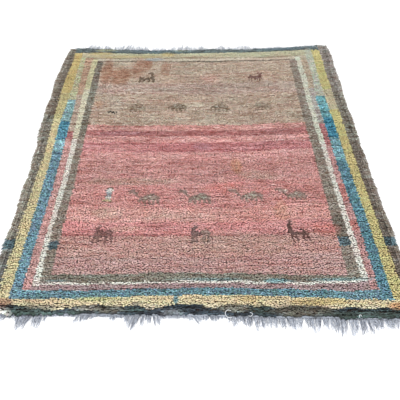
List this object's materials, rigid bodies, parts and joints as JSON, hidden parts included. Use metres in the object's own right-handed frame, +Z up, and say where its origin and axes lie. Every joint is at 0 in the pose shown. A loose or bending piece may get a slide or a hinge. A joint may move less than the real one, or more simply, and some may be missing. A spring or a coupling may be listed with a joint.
{
  "type": "gabbeh rug",
  "caption": "Hand-knotted shaggy wool rug lying flat, oblong, with overcast side edges and a worn warp fringe at each end.",
  "frame": {"origin": "centre of the rug's box on the floor, under its flat underside", "axes": "+X across the width, to the right when looking from the near end; +Y along the length, from the near end, where the weaving began, to the far end; +Z up, out of the pile"},
  "size_m": [1.256, 1.8496, 0.0151],
  "materials": {
    "pile_wool": "shaggy hand-knotted wool pile, here in its main madder rose",
    "selvedge_wool": "undyed brown wool, overcast",
    "warp_wool": "twisted undyed wool warp, worn"
  },
  "bodies": {
    "root": {"knotted_pile": "pile_wool", "selvedge_left": "selvedge_wool", "selvedge_right": "selvedge_wool", "fringe_near": "warp_wool", "fringe_far": "warp_wool"}
  },
  "joints": []
}
